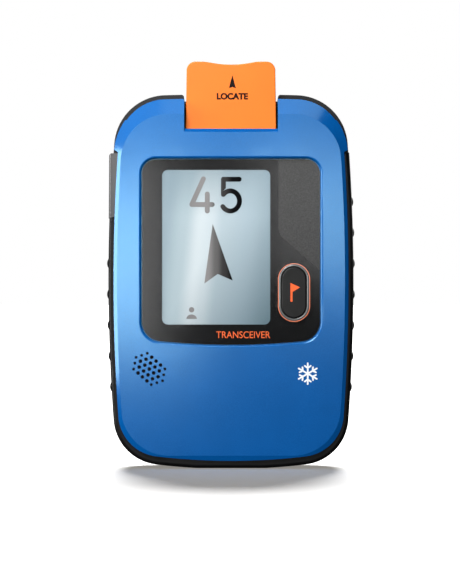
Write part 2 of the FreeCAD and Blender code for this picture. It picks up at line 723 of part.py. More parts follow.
def search_tab():
    """The sliding tab: a broad thumb plate with a scooped top, and a tongue that runs in the channel."""
    half = TAB_HALF_WIDTH
    upper_half = TAB_HALF_WIDTH - TAB_TAPER
    corner = TAB_CORNER
    inset = corner * (1 - math.sqrt(0.5))
    scoop_z = TAB_TOP_Z - TAB_SCOOP
    y = TAB_FRONT_Y

    def at(x, z):
        return Vector(x, y, z)

    edges = [Part.makeLine(at(half, TAB_LOW_Z), at(-half, TAB_LOW_Z))]
    for sign in (-1, 1):
        scoop = Part.BezierCurve()
        scoop.setPoles([at(sign * TAB_PEAK_X, TAB_TOP_Z), at(sign * 6.6, TAB_TOP_Z),
                        at(sign * 5.4, scoop_z), at(0, scoop_z)])
        edges += [
            Part.makeLine(at(sign * half, TAB_LOW_Z), at(sign * upper_half, TAB_TOP_Z - corner)),
            Part.Arc(at(sign * upper_half, TAB_TOP_Z - corner),
                     at(sign * (upper_half - inset), TAB_TOP_Z - inset),
                     at(sign * (upper_half - corner), TAB_TOP_Z)).toShape(),
            Part.makeLine(at(sign * (upper_half - corner), TAB_TOP_Z), at(sign * TAB_PEAK_X, TAB_TOP_Z)),
            scoop.toShape(),
        ]
    plate = Part.Face(Part.Wire(Part.sortEdges(edges)[0])).extrude(Vector(0, TAB_REAR_Y - y, 0))
    rim = [e for e in edges_in_plane(plate, y) if e.BoundBox.ZMax > TAB_LOW_Z + 0.1]
    plate = plate.makeFillet(0.35, rim)
    tongue = box(-7.5, 7.5, TAB_REAR_Y, TONGUE_REAR_Y, TONGUE_LOW_Z, TAB_LOW_Z + 2)
    return joined([plate, tongue]).cut(tab_magnet())


def tab_magnet():
    return disc(0, TONGUE_LOW_Z + 4.5, 2.5, TONGUE_REAR_Y - 1.5, TONGUE_REAR_Y - 0.2)


def tab_channel():
    """The dry-sealed tray that the tab slides in, open only at the slot."""
    upper = box(-17, 17, CHANNEL_FRONT_Y, PARTING_Y - 0.05, CHANNEL_STEP_Z, CHANNEL_TOP_Z)
    lower = box(-10, 10, -6.2, PARTING_Y - 0.05, CHANNEL_LOW_Z, CHANNEL_STEP_Z)
    back = box(-14.7, 14.7, -3.05, PARTING_Y - 0.05, CHANNEL_TOP_Z, SLOT_REAR_Z)
    tray = joined([upper, lower, back])
    plate_space = box(-TAB_HALF_WIDTH - 0.2, TAB_HALF_WIDTH + 0.2, TAB_FRONT_Y - 0.15,
                      -3.05, CHANNEL_STEP_Z + 0.05, CHANNEL_TOP_Z + OVER)
    tongue_space = box(-7.7, 7.7, TAB_REAR_Y - 0.15, -3.05, CHANNEL_LOW_Z + 1, CHANNEL_TOP_Z)
    return tray.cut([plate_space, tongue_space, tab_catch_plates()])


def tab_catch_plates():
    """Two steel plates that hold the tab's magnet at each end of its travel."""
    magnet_z = TONGUE_LOW_Z + 4.5
    plates = []
    for z in (magnet_z, magnet_z - TAB_TRAVEL):
        plates.append(box(-3, 3, PARTING_Y - 0.5, PARTING_Y - 0.05, z - 2, z + 2))
    return group(plates)


# ---- Electronics ----

def main_board():
    board = slab(GRIP_DEPTH + WALL + 0.5, BOARD_FRONT_Y, BOARD_REAR_Y)
    board = board.common(box(-60, 60, -20, 20, 8, 103))
    tools = [disc(x, z, 3.4, -20, 20) for x, z in CASE_SCREWS]
    tools += [disc(x, z, 1.0, -20, 20) for x, z in BOARD_SCREWS]
    tools.append(box(-45, -34.0, -20, 20, PORT_Z - 6, PORT_Z + 6))
    return board.cut(tools)


def board_chips():
    """The larger parts on the board: processor, radio, charger, memory and plugs."""
    rear = BOARD_REAR_Y
    front = BOARD_FRONT_Y
    chips = [
        box(-4, 5, rear, rear + 1.2, 70, 79),
        box(9, 15, rear, rear + 1.0, 84, 90),
        box(-19, -13, rear, rear + 1.0, 84, 90),
        box(-8, -3, rear, rear + 1.4, 84, 88),
        box(25, 31, rear, rear + 1.6, 50, 56),
        box(23.5, 31.5, rear, rear + 2.2, 38, 44),
        box(20, 26, front - 1.4, front, 70, 78),
        box(-12, -2, front - 1.2, front, 52, 62),
        box(8, 14, front - 2.4, front, 24, 30),
    ]
    return group(chips)


def hall_sensor():
    return box(-1.5, 1.5, BOARD_REAR_Y, BOARD_REAR_Y + 1.0, 91.5, 94.5)


def battery_pack():
    pack = box(-BATTERY_HALF_WIDTH, BATTERY_HALF_WIDTH, 1.6, 8.6, *BATTERY_Z)
    return pack.makeFillet(1.6, edges_along(pack, Z_AXIS))


def battery_foam():
    return box(-15, 15, 8.6, REAR_INNER_Y, 22, 60)


def battery_leads():
    leads = []
    for y in (3.6, 5.6):
        points = [Vector(12 + y, y, BATTERY_Z[1]), Vector(12 + y, y, 68.5), Vector(12 + y, 1.2, 68.5)]
        leads.append(wire_run(points, 0.55, 0.9))
    plug = box(13, 20, BOARD_REAR_Y, 1.2, 67, 70)
    return group(leads + [plug])


def upright_rod(radius, z0, z1):
    return Part.makeCylinder(radius, z1 - z0, Vector(ROD_Z_X, ROD_Y, z0), Z_AXIS)


def cross_rod(radius, x0, x1):
    return Part.makeCylinder(radius, x1 - x0, Vector(x0, ROD_Y, ROD_X_Z), X_AXIS)


def antenna_z_core():
    return upright_rod(3.0, 26, 84)


def antenna_z_coil():
    return upright_rod(4.1, 33, 77).cut(upright_rod(3.0, 20, 99))


def antenna_x_core():
    return cross_rod(3.0, -20, 20)


def antenna_x_coil():
    return cross_rod(3.9, -15, 15).cut(cross_rod(3.0, -30, 30))


def antenna_y_core():
    return disc(*COIL_Y_CENTRE, 3.0, 0.6, 8.4)


def antenna_y_coil():
    return tube(*COIL_Y_CENTRE, 6.5, 3.0, 0.6, 8.0)


def antenna_brackets():
    """Plastic feet that hold the rods off the board."""
    feet = []
    for z in (28, 79.5):
        foot = box(ROD_Z_X - 3.6, ROD_Z_X + 3.6, BOARD_REAR_Y, ROD_Y + 2.4, z, z + 3.5)
        feet.append(foot.cut(upright_rod(3.0, 20, 99)))
    for x in (-19.5, 16.5):
        foot = box(x, x + 3, BOARD_REAR_Y, ROD_Y + 2.4, ROD_X_Z - 7.5, ROD_X_Z + 3.4)
        feet.append(foot.cut(cross_rod(3.0, -30, 30)))
    feet.append(tube(*COIL_Y_CENTRE, 5.0, 3.0, BOARD_REAR_Y, 0.6))
    return group(feet)


# ---- Fasteners ----

def screw(x, z, head_radius, head_y, shaft_radius, tip_y, head_height):
    """A pan-head screw along Y with a six-sided recess, its head towards the back."""
    head = disc(x, z, head_radius, head_y, head_y + head_height)
    head = head.makeFillet(0.4, edges_in_plane(head, head_y + head_height))
    shaft = disc(x, z, shaft_radius, tip_y, head_y)
    corners = []
    for i in range(6):
        angle = math.radians(60 * i)
        corners.append((x + head_radius * 0.5 * math.cos(angle), z + head_radius * 0.5 * math.sin(angle)))
    recess = prism(corners, head_y + head_height - 0.9, 3)
    return joined([head, shaft]).cut(recess)


def housing_screws():
    return group([screw(x, z, 2.2, 8.6, 1.25, -5.6, 1.6) for x, z in CASE_SCREWS])


def screw_inserts():
    return group([tube(x, z, 1.75, 1.25, -6.4, PARTING_Y) for x, z in CASE_SCREWS])


def board_screws():
    return group([screw(x, z, 1.8, BOARD_REAR_Y, 0.8, -6.4, 1.3) for x, z in BOARD_SCREWS])


# ---- Back ----

def power_switch():
    """The sliding on-off switch, shown off: it moves towards +X to switch on."""
    flange = rounded_box(-12.0, 5.5, 9.0, 10.0, SWITCH_Z - 3.9, SWITCH_Z + 3.9, 1.0)
    knob = rounded_box(-7.4, 0.9, 10.0, 10.9, SWITCH_Z - 2.7, SWITCH_Z + 2.7, 0.8)
    grooves = [box(x - 0.3, x + 0.3, 10.55, 12, SWITCH_Z - 5, SWITCH_Z + 5) for x in (-5.2, -3.25, -1.3)]
    return joined([flange, knob]).cut(grooves + [power_switch_magnet()])


def power_switch_magnet():
    return disc(-3.25, SWITCH_Z, 1.5, 9.0, 9.9)


def power_switch_bezel():
    frame = rounded_box(-13, 13, 10.15, 10.85, SWITCH_Z - 4.6, SWITCH_Z + 4.6, 2.0)
    return frame.cut(rounded_box(-7.6, 7.1, 9, 12, SWITCH_Z - 2.9, SWITCH_Z + 2.9, 0.9))


def lanyard_bar():
    """The steel bar that the lanyard loops round, across the recess in the base."""
    return Part.makeCylinder(LANYARD_BAR_RADIUS, 2 * LANYARD_HALF_WIDTH + 2.4,
                             Vector(-LANYARD_HALF_WIDTH - 1.2, LANYARD_BAR_Y, LANYARD_BAR_Z), X_AXIS)


def rear_label():
    return rounded_box(-20, 20, REAR_Y - 0.3, REAR_Y - 0.1, 72, 86, 1.5)


NODES = [
    front_shell, rear_shell, grip_band, display_window, mask_film, window_gasket, lcd_glass,
    lcd_backlight, lcd_frame, lcd_flex, flag_button, button_ring, button_light_guide,
    button_membrane, button_switch, speaker_mesh, speaker_gasket, speaker_frame, speaker_cone,
    speaker_magnet, speaker_leads, search_tab, tab_magnet, tab_channel, tab_catch_plates,
    main_board, board_chips, hall_sensor, usb_socket, usb_seal, usb_cover, battery_pack,
    battery_foam, battery_leads, antenna_x_core, antenna_x_coil, antenna_y_core, antenna_y_coil,
    antenna_z_core, antenna_z_coil, antenna_brackets, housing_screws, screw_inserts,
    board_screws, seal_ring, power_switch, power_switch_magnet, power_switch_bezel, lanyard_bar,
    rear_label,
]

os.makedirs("parts", exist_ok=True)
for node in NODES:
    shape = node()
    shape.exportStep(f"parts/{node.__name__}.step")
    box_size = shape.BoundBox
    print(f"{node.__name__:22s} valid={shape.isValid()} solids={len(shape.Solids)} "
          f"volume={shape.Volume:9.1f} y={box_size.YMin:.2f}..{box_size.YMax:.2f}")
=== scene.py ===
import json
import math

import bpy
from mathutils import Matrix, Vector
from mathutils.bvhtree import BVHTree

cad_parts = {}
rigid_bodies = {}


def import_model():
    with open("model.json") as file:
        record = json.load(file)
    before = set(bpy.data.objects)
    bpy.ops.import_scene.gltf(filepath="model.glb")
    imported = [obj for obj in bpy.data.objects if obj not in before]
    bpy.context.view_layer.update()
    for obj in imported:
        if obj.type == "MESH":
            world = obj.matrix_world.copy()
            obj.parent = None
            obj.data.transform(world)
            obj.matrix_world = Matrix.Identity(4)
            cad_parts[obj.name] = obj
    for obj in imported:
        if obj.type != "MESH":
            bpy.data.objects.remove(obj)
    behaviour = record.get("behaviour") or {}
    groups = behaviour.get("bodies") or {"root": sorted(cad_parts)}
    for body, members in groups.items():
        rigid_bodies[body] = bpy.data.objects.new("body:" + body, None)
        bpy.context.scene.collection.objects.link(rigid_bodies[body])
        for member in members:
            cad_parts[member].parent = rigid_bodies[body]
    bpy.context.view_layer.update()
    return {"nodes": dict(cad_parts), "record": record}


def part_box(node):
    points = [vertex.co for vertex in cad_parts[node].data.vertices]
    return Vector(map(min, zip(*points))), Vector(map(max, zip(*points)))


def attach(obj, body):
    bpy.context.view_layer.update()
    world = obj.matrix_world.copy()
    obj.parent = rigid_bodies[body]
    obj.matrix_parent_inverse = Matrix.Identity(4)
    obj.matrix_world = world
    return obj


# Looks for a hand-held avalanche transceiver. Lengths in this script are millimetres and are
# turned into metres where Blender needs them. Front is -Y, right is +X, up is +Z.

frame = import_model()
NODES = frame["nodes"]
MM = 0.001


def box_mm(node):
    """The lowest and highest corner of a CAD node, in millimetres."""
    low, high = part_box(node)
    return low / MM, high / MM


# ---- Camera ----

VIEW_HEIGHT = 183.5         # the height that the picture shows, measured at the object's front
OBJECT_FRONT = 9.0          # how far that plane lies in front of the origin
LENS = 150.0
SENSOR = 36.0
CAMERA_X = -0.32
CAMERA_Z = 59.3
CAMERA_DISTANCE = VIEW_HEIGHT * LENS / SENSOR + OBJECT_FRONT
CLIP_NEAR = 10.0
CLIP_FAR = 50000.0


def add_camera():
    """A long lens square on to the front."""
    data = bpy.data.cameras.new("camera")
    data.lens = LENS
    data.sensor_fit = "VERTICAL"
    data.sensor_height = SENSOR
    data.clip_start = CLIP_NEAR * MM
    data.clip_end = CLIP_FAR * MM
    camera = bpy.data.objects.new("camera", data)
    camera.location = Vector((CAMERA_X, -CAMERA_DISTANCE, CAMERA_Z)) * MM
    camera.rotation_euler = (math.radians(90), 0, 0)
    bpy.context.scene.collection.objects.link(camera)
    bpy.context.scene.camera = camera


# ---- Material tools ----

def srgb(red, green, blue):
    """A colour given as 0 to 255 screen values, as the linear values that shaders use."""
    values = []
    for part in (red, green, blue):
        part = part / 255
        values.append(part / 12.92 if part <= 0.04045 else ((part + 0.055) / 1.055) ** 2.4)
    return (*values, 1.0)


def shade(colour, factor):
    """A colour made darker or lighter by a factor."""
    return tuple(min(1.0, part * factor) for part in colour[:3]) + (1.0,)


BLUE = (0.0002, 0.086, 0.33, 1)
BLUE_SHEEN = (0.42, 0.80, 1.0, 1)
ORANGE = (0.80, 0.162, 0.0055, 1)
ORANGE_INK = srgb(244, 108, 56)
FLAG_INK = srgb(250, 104, 56)
TAB_INK = srgb(14, 5, 3)
WHITE_INK = srgb(236, 240, 244)


class Shader:
    """A material's node tree with short calls for the nodes that this script needs."""

    def __init__(self, name, roughness=0.5, metallic=0.0, coat=0.0, coat_roughness=0.1, specular=0.5):
        self.material = bpy.data.materials.new(name)
        self.material.use_nodes = True
        self.tree = self.material.node_tree
        self.surface = self.tree.nodes["Principled BSDF"]
        self.set("Roughness", roughness)
        self.set("Metallic", metallic)
        self.set("Coat Weight", coat)
        self.set("Coat Roughness", coat_roughness)
        self.set("Specular IOR Level", specular)
        coordinates = self.tree.nodes.new("ShaderNodeTexCoord")
        self.place = coordinates.outputs["Object"]

    def set(self, socket, value):
        self.surface.inputs[socket].default_value = value

    def link(self, output, target):
        self.tree.links.new(output, target)

    def into(self, output, socket):
        self.link(output, self.surface.inputs[socket])

    def stretched(self, scale):
        """The place on the object with each axis multiplied by its own factor."""
        node = self.tree.nodes.new("ShaderNodeMapping")
        node.inputs["Scale"].default_value = scale
        self.link(self.place, node.inputs["Vector"])
        return node.outputs["Vector"]

    def noise(self, size, detail=3.0, rough=0.55, vector=None):
        """Soft noise whose blobs are about size millimetres across."""
        node = self.tree.nodes.new("ShaderNodeTexNoise")
        node.inputs["Scale"].default_value = 1.0 / (size * MM)
        node.inputs["Detail"].default_value = detail
        node.inputs["Roughness"].default_value = rough
        self.link(vector or self.place, node.inputs["Vector"])
        return node.outputs["Fac"]

    def bands(self, pitch, axis):
        """Even bands along an axis, pitch millimetres apart."""
        node = self.tree.nodes.new("ShaderNodeTexWave")
        node.wave_type = "BANDS"
        node.bands_direction = axis
        node.inputs["Scale"].default_value = math.pi / 10 / (pitch * MM)
        self.link(self.place, node.inputs["Vector"])
        return node.outputs["Fac"]

    def cells(self, size, feature="F1"):
        """Distances within irregular cells about size millimetres across."""
        node = self.tree.nodes.new("ShaderNodeTexVoronoi")
        node.feature = feature
        node.inputs["Scale"].default_value = 1.0 / (size * MM)
        self.link(self.place, node.inputs["Vector"])
        return node.outputs["Distance"]

    def ramp(self, value, stops):
        """Colours that follow a value from 0 to 1."""
        node = self.tree.nodes.new("ShaderNodeValToRGB")
        node.color_ramp.interpolation = "EASE"
        elements = node.color_ramp.elements
        while len(elements) < len(stops):
            elements.new(0.5)
        for element, (position, colour) in zip(elements, stops):
            element.position = position
            element.color = colour
        self.link(value, node.inputs["Fac"])
        return node.outputs["Color"]

    def fit(self, value, low, high, to_low=0.0, to_high=1.0):
        """Maps low to high onto another range, and holds its ends beyond them."""
        node = self.tree.nodes.new("ShaderNodeMapRange")
        limits = {"From Min": low, "From Max": high, "To Min": to_low, "To Max": to_high}
        for socket, number in limits.items():
            node.inputs[socket].default_value = number
        self.link(value, node.inputs["Value"])
        return node.outputs["Result"]

    def math(self, operation, first, second=0.0):
        """One operation on two values, each a socket or a number. ABSOLUTE and SQRT use only the first."""
        node = self.tree.nodes.new("ShaderNodeMath")
        node.operation = operation
        for socket, value in zip(node.inputs, (first, second)):
            if isinstance(value, (int, float)):
                socket.default_value = value
            else:
                self.link(value, socket)
        return node.outputs["Value"]

    def blend(self, factor, first, second):
        """Mixes two colours, each a socket or four numbers."""
        node = self.tree.nodes.new("ShaderNodeMix")
        node.data_type = "RGBA"
        self.link(factor, node.inputs["Factor"])
        for name, value in (("A", first), ("B", second)):
            socket = [s for s in node.inputs if s.name == name and s.type == "RGBA"][0]
            if isinstance(value, tuple):
                socket.default_value = value
            else:
                self.link(value, socket)
        return [s for s in node.outputs if s.type == "RGBA"][0]

    def axes(self):
        """The place on the object as x, y and z in metres."""
        node = self.tree.nodes.new("ShaderNodeSeparateXYZ")
        self.link(self.place, node.inputs["Vector"])
        return node.outputs["X"], node.outputs["Y"], node.outputs["Z"]

    def bump(self, height, depth):
        """Relief of depth millimetres."""
        node = self.tree.nodes.new("ShaderNodeBump")
        node.inputs["Distance"].default_value = depth * MM
        self.link(height, node.inputs["Height"])
        self.into(node.outputs["Normal"], "Normal")


def moulded(name, colour, roughness, grain=0.35, depth=0.006, mottle=0.07, spread=0.05, **options):
    """Moulded plastic: fine spark-eroded grain, slight clouding and uneven gloss."""
    shader = Shader(name, roughness, **options)
    clouds = shader.noise(9.0, 2.0)
    fine = shader.noise(grain, 2.0, 0.6)
    mixed = shader.math("ADD", shader.math("MULTIPLY", clouds, 0.6), shader.math("MULTIPLY", fine, 0.4))
    tones = [(0.3, shade(colour, 1 - mottle)), (0.7, shade(colour, 1 + mottle))]
    shader.into(shader.ramp(mixed, tones), "Base Color")
    shader.into(shader.fit(fine, 0.3, 0.7, roughness - spread, roughness + spread), "Roughness")
    shader.bump(fine, depth)
    return shader.material


def satin_paint(name, colour, sheen_colour):
    """Metallic-look paint: fine glittering grain, with highlights in a lighter tint of the colour."""
    shader = Shader(name, 0.22, specular=1.0)
    shader.set("Specular Tint", sheen_colour)
    grain = shader.noise(0.28, 3.0, 0.7)
    clouds = shader.noise(14.0, 2.0)
    mixed = shader.math("ADD", shader.math("MULTIPLY", clouds, 0.3), shader.math("MULTIPLY", grain, 0.7))
    tones = [(0.3, shade(colour, 0.88)), (0.72, shade(colour, 1.14))]
    shader.into(shader.ramp(mixed, tones), "Base Color")
    shader.into(shader.fit(grain, 0.3, 0.7, 0.13, 0.21), "Roughness")
    shader.bump(grain, 0.004)
    return shader.material


def rubbery(name, colour, roughness, specular=0.4):
    """Thermoplastic rubber: a velvety sheen, fine pores and dusty patches."""
    shader = Shader(name, roughness, specular=specular)
    pores = shader.noise(0.22, 3.0, 0.7)
    dust = shader.noise(6.0, 4.0, 0.6)
    shader.into(shader.ramp(dust, [(0.35, shade(colour, 0.85)), (0.75, shade(colour, 1.35))]), "Base Color")
    shader.into(shader.fit(dust, 0.3, 0.7, roughness - 0.06, roughness + 0.08), "Roughness")
    shader.set("Sheen Weight", 0.02)
    shader.bump(pores, 0.012)
    return shader.material


def metal(name, colour, roughness, brush=(1, 1, 1), depth=0.002):
    """Metal with a brushed or turned grain; brush stretches the grain along an axis."""
    shader = Shader(name, roughness, metallic=1.0)
    grain = shader.noise(0.25, 4.0, 0.7, shader.stretched(brush))
    stains = shader.noise(3.0, 3.0)
    shader.into(shader.ramp(stains, [(0.3, shade(colour, 0.88)), (0.7, colour)]), "Base Color")
    shader.into(shader.fit(grain, 0.2, 0.8, roughness * 0.7, roughness * 1.3), "Roughness")
    shader.bump(grain, depth)
    return shader.material


def wound(name, axis):
    """A coil of fine enamelled wire, its turns side by side along an axis."""
    shader = Shader(name, 0.3, metallic=0.85, coat=0.4)
    turns = shader.bands(0.38, axis)
    tint = shader.noise(1.2, 2.0)
    colour = shader.ramp(tint, [(0.3, (0.36, 0.10, 0.035, 1)), (0.7, (0.62, 0.23, 0.09, 1))])
    shader.into(shader.blend(turns, (0.10, 0.025, 0.01, 1), colour), "Base Color")
    shader.bump(turns, 0.12)
    return shader.material


def circuit_board(name):
    """Green solder mask over faint copper tracks, with small pads."""
    shader = Shader(name, 0.35, coat=0.3)
    tracks = shader.cells(2.4, "DISTANCE_TO_EDGE")
    pads = shader.cells(1.7)
    mask = shader.ramp(tracks, [(0.04, (0.015, 0.16, 0.07, 1)), (0.10, (0.006, 0.075, 0.035, 1))])
    spots = shader.ramp(pads, [(0.10, (1, 1, 1, 1)), (0.14, (0, 0, 0, 1))])
    shader.into(shader.blend(spots, mask, (0.65, 0.60, 0.45, 1)), "Base Color")
    shader.bump(tracks, 0.02)
    return shader.material


def woven_steel(name):
    """Fine steel cloth in front of the speaker."""
    shader = Shader(name, 0.4, metallic=0.9)
    across = shader.bands(0.3, "X")
    along = shader.bands(0.3, "Z")
    weave = shader.math("MULTIPLY", across, along)
    tones = [(0.1, (0.004, 0.004, 0.005, 1)), (0.8, (0.10, 0.10, 0.11, 1))]
    shader.into(shader.ramp(weave, tones), "Base Color")
    shader.bump(weave, 0.05)
    return shader.material


def clear_window(name):
    """Hard-coated clear plate: nearly invisible, with a trace of tint and fine wipe marks."""
    shader = Shader(name, 0.12, specular=0.05)
    marks = shader.noise(5.0, 4.0, 0.7, shader.stretched((1, 1, 0.2)))
    tones = [(0.3, (0.03, 0.034, 0.036, 1)), (0.7, (0.045, 0.05, 0.052, 1))]
    shader.into(shader.ramp(marks, tones), "Base Color")
    shader.into(shader.fit(marks, 0.3, 0.7, 0.10, 0.16), "Roughness")
    shader.set("Alpha", 0.03)
    shader.material.blend_method = "BLEND"
    return shader.material


def printed_film(name):
    """Black print behind the window, whose coat gives the window its gloss."""
    shader = Shader(name, 0.32, coat=0.38, coat_roughness=0.11, specular=0.0)
    clouds = shader.noise(14.0, 2.0)
    tones = [(0.3, (0.0032, 0.0032, 0.0034, 1)), (0.7, (0.0040, 0.0040, 0.0043, 1))]
    shader.into(shader.ramp(clouds, tones), "Base Color")
    shader.into(shader.fit(clouds, 0.3, 0.7, 0.28, 0.36), "Roughness")
    return shader.material


RING_LINE = 0.20            # width of the orange line round the button
RING_LINE_BLUR = 0.05       # how far the line's inner edge fades to each side


def ring_print(name):
    """The button's clear ring, with a thin orange line printed round its outer edge."""
    low, high = box_mm("button_ring")
    radius = (high.x - low.x) / 2
    straight = (high.z - low.z) / 2 - radius
    shader = Shader(name, 0.3, coat=0.6)
    x, _, z = shader.axes()
    across = shader.math("ABSOLUTE", shader.math("SUBTRACT", x, (low.x + high.x) / 2 * MM))
    along = shader.math("ABSOLUTE", shader.math("SUBTRACT", z, (low.z + high.z) / 2 * MM))
    beyond = shader.math("MAXIMUM", shader.math("SUBTRACT", along, straight * MM), 0.0)
    squares = shader.math("ADD", shader.math("POWER", across, 2.0), shader.math("POWER", beyond, 2.0))
    distance = shader.math("SQRT", squares)
    edge = radius - RING_LINE
    line = shader.fit(distance, (edge - RING_LINE_BLUR) * MM, (edge + RING_LINE_BLUR) * MM)
    grain = shader.noise(0.2, 2.0)
    grey = shader.ramp(grain, [(0.3, srgb(66, 64, 62)), (0.7, srgb(84, 80, 77))])
    orange = shader.ramp(grain, [(0.3, srgb(232, 112, 66)), (0.7, srgb(240, 124, 78))])
    shader.into(shader.blend(line, grey, orange), "Base Color")
    return shader.material


def grained_print(name):
    """The grey grained panel in the window's upper right, with painted light towards its upper left and
    painted shade towards its lower right.
    """
    shader = Shader(name, 0.45, coat=0.2, coat_roughness=0.2)
    grain = shader.noise(0.45, 4.0, 0.75)
    x, _, z = shader.axes()
    # Painted light and shade: the panel's colour is brightened to the upper left and darkened to the lower
    # right.
    painted_light_slope = shader.math("SUBTRACT", z, shader.math("MULTIPLY", x, 0.8))
    light = shader.fit(painted_light_slope, 45 * MM, 85 * MM, 0.75, 1.15)
    colour = shader.ramp(grain, [(0.25, (0.008, 0.008, 0.008, 1)), (0.8, (0.044, 0.044, 0.043, 1))])
    shader.into(shader.blend(light, (0.0, 0.0, 0.0, 1), colour), "Base Color")
    shader.bump(grain, 0.02)
    return shader.material


# ---- The screen ----

GLASS_LOW, GLASS_HIGH = box_mm("lcd_glass")
SCREEN_SIDE_MARGIN = 0.9
SCREEN_LOW_MARGIN = 3.0
SCREEN_HALF_HEIGHT = 24.95
SCREEN_X = (GLASS_LOW.x + GLASS_HIGH.x) / 2
SCREEN_HALF_WIDTH = (GLASS_HIGH.x - GLASS_LOW.x) / 2 - SCREEN_SIDE_MARGIN
SCREEN_Z = GLASS_LOW.z + SCREEN_LOW_MARGIN + SCREEN_HALF_HEIGHT
SCREEN_Y = GLASS_LOW.y


def across_screen(shader):
    """0 at the screen's left edge and 1 at its right edge."""
    x, _, _ = shader.axes()
    return shader.fit(x, (SCREEN_X - SCREEN_HALF_WIDTH) * MM, (SCREEN_X + SCREEN_HALF_WIDTH) * MM)


def up_screen(shader):
    """0 at the screen's lower edge and 1 at its upper edge."""
    _, _, z = shader.axes()
    return shader.fit(z, (SCREEN_Z - SCREEN_HALF_HEIGHT) * MM, (SCREEN_Z + SCREEN_HALF_HEIGHT) * MM)


def screen_panel(name):
    """Reflective grey-blue screen whose base colour holds a painted reflection (a soft slanted light band),
    painted shade at the lower right and a painted dim top.
    """
    shader = Shader(name, 0.35, coat=0.25, coat_roughness=0.25, specular=0.2)
    across = across_screen(shader)
    up = up_screen(shader)
    lean = shader.math("MULTIPLY", shader.math("SUBTRACT", up, 0.5), 0.16)
    # Painted reflection: a soft, slanted bright band laid into the screen's base colour.
    painted_reflection_band = shader.ramp(shader.math("SUBTRACT", across, lean), [
        (0.0, srgb(138, 158, 168)), (0.18, srgb(163, 181, 188)), (0.34, srgb(198, 209, 213)),
        (0.42, srgb(194, 206, 211)), (0.55, srgb(172, 189, 197)), (0.8, srgb(174, 193, 203)),
        (1.0, srgb(164, 185, 195)),
    ])
    # Painted shade: the screen's lower right is darkened in its base colour.
    corner = shader.math("SUBTRACT", across, shader.math("MULTIPLY", up, 0.9))
    painted_reflection_and_shade = shader.blend(shader.fit(corner, 0.0, 1.0, 0.0, 0.9), painted_reflection_band, srgb(62, 92, 104))
    # Painted shade: the screen's top is dimmed in its base colour.
    top = shader.fit(up, 0.7, 1.0, 0.0, 0.75)
    shader.into(shader.blend(top, painted_reflection_and_shade, srgb(118, 139, 149)), "Base Color")
    shader.into(shader.fit(shader.noise(0.5, 2.0), 0.3, 0.7, 0.27, 0.33), "Roughness")
    return shader.material


def screen_ink(name):
    """The screen's dark segments, painted lighter towards the left as a painted reflection of the screen's
    light band.
    """
    shader = Shader(name, 0.35, specular=0.0)
    # Painted reflection: the segments turn grey towards the left, under the screen's painted light band.
    tones = [
        (0.0, srgb(112, 112, 113)), (0.42, srgb(138, 136, 136)), (0.50, srgb(98, 97, 97)),
        (0.57, srgb(56, 55, 55)), (0.66, srgb(8, 8, 9)), (1.0, srgb(2, 2, 3)),
    ]
    shader.into(shader.ramp(across_screen(shader), tones), "Base Color")
    shader.into(shader.fit(shader.noise(0.5, 2.0), 0.3, 0.7, 0.32, 0.38), "Roughness")
    return shader.material


def ink(name, colour):
    """Printed ink: matt and even."""
    return moulded(name, colour, 0.45, grain=0.15, depth=0.001, mottle=0.04, specular=0.1)


# ---- The material of each slot ----

# slot: how its material is made, and with what
SLOTS = {
    "blue_shell": (satin_paint, dict(colour=BLUE, sheen_colour=BLUE_SHEEN)),
    "dark_shell": (moulded, dict(colour=(0.006, 0.006, 0.0064, 1), roughness=0.5, grain=0.3,
                                 depth=0.012, mottle=0.15, specular=0.25)),
    "black_rubber": (rubbery, dict(colour=(0.005, 0.005, 0.0053, 1), roughness=0.45)),
    "window": (clear_window, {}),
    "black_print": (printed_film, {}),
    "screen": (screen_panel, {}),
    "white_plastic": (moulded, dict(colour=(0.72, 0.73, 0.74, 1), roughness=0.45)),
    "orange_plastic": (moulded, dict(colour=ORANGE, roughness=0.42, grain=0.28, depth=0.004,
                                     mottle=0.03, specular=0.3)),
    "orange_ring": (ring_print, {}),
    "clear_plastic": (moulded, dict(colour=srgb(84, 86, 86), roughness=0.22, grain=0.2,
                                    depth=0.002, coat=1.0)),
    "key_grey": (moulded, dict(colour=(0.007, 0.007, 0.007, 1), roughness=0.42, grain=0.22,
                               depth=0.006, mottle=0.4, specular=0.25)),
    "silicone": (rubbery, dict(colour=(0.10, 0.105, 0.11, 1), roughness=0.5)),
    "foam": (moulded, dict(colour=(0.02, 0.02, 0.02, 1), roughness=0.85, grain=0.5, depth=0.15, mottle=0.3)),
    "steel": (metal, dict(colour=(0.52, 0.53, 0.55, 1), roughness=0.28, brush=(0.1, 1, 1))),
    "nickel": (metal, dict(colour=(0.66, 0.65, 0.62, 1), roughness=0.15)),
    "brass": (metal, dict(colour=(0.62, 0.42, 0.16, 1), roughness=0.25, brush=(1, 0.2, 1))),
    "ferrite": (moulded, dict(colour=(0.03, 0.03, 0.033, 1), roughness=0.6, grain=0.4,
                              depth=0.03, mottle=0.2)),
    "board": (circuit_board, {}),
    "chip": (moulded, dict(colour=(0.014, 0.014, 0.015, 1), roughness=0.55, grain=0.2,
                           depth=0.01, mottle=0.15)),
    "flat_cable": (moulded, dict(colour=(0.40, 0.16, 0.02, 1), roughness=0.3, grain=0.6,
                                 depth=0.004, coat=0.5)),
    "cell_wrap": (moulded, dict(colour=(0.03, 0.09, 0.27, 1), roughness=0.25, grain=2.0,
                                depth=0.03, coat=0.6)),
    "paper": (moulded, dict(colour=(0.02, 0.02, 0.02, 1), roughness=0.8, grain=0.6, depth=0.04, mottle=0.25)),
    "wire": (moulded, dict(colour=(0.30, 0.01, 0.01, 1), roughness=0.4, grain=0.5, depth=0.003)),
    "label": (moulded, dict(colour=(0.30, 0.31, 0.32, 1), roughness=0.4, grain=0.25, depth=0.002)),
}
COIL_AXES = {"antenna_x_coil": "X", "antenna_y_coil": "X", "antenna_z_coil": "Z"}


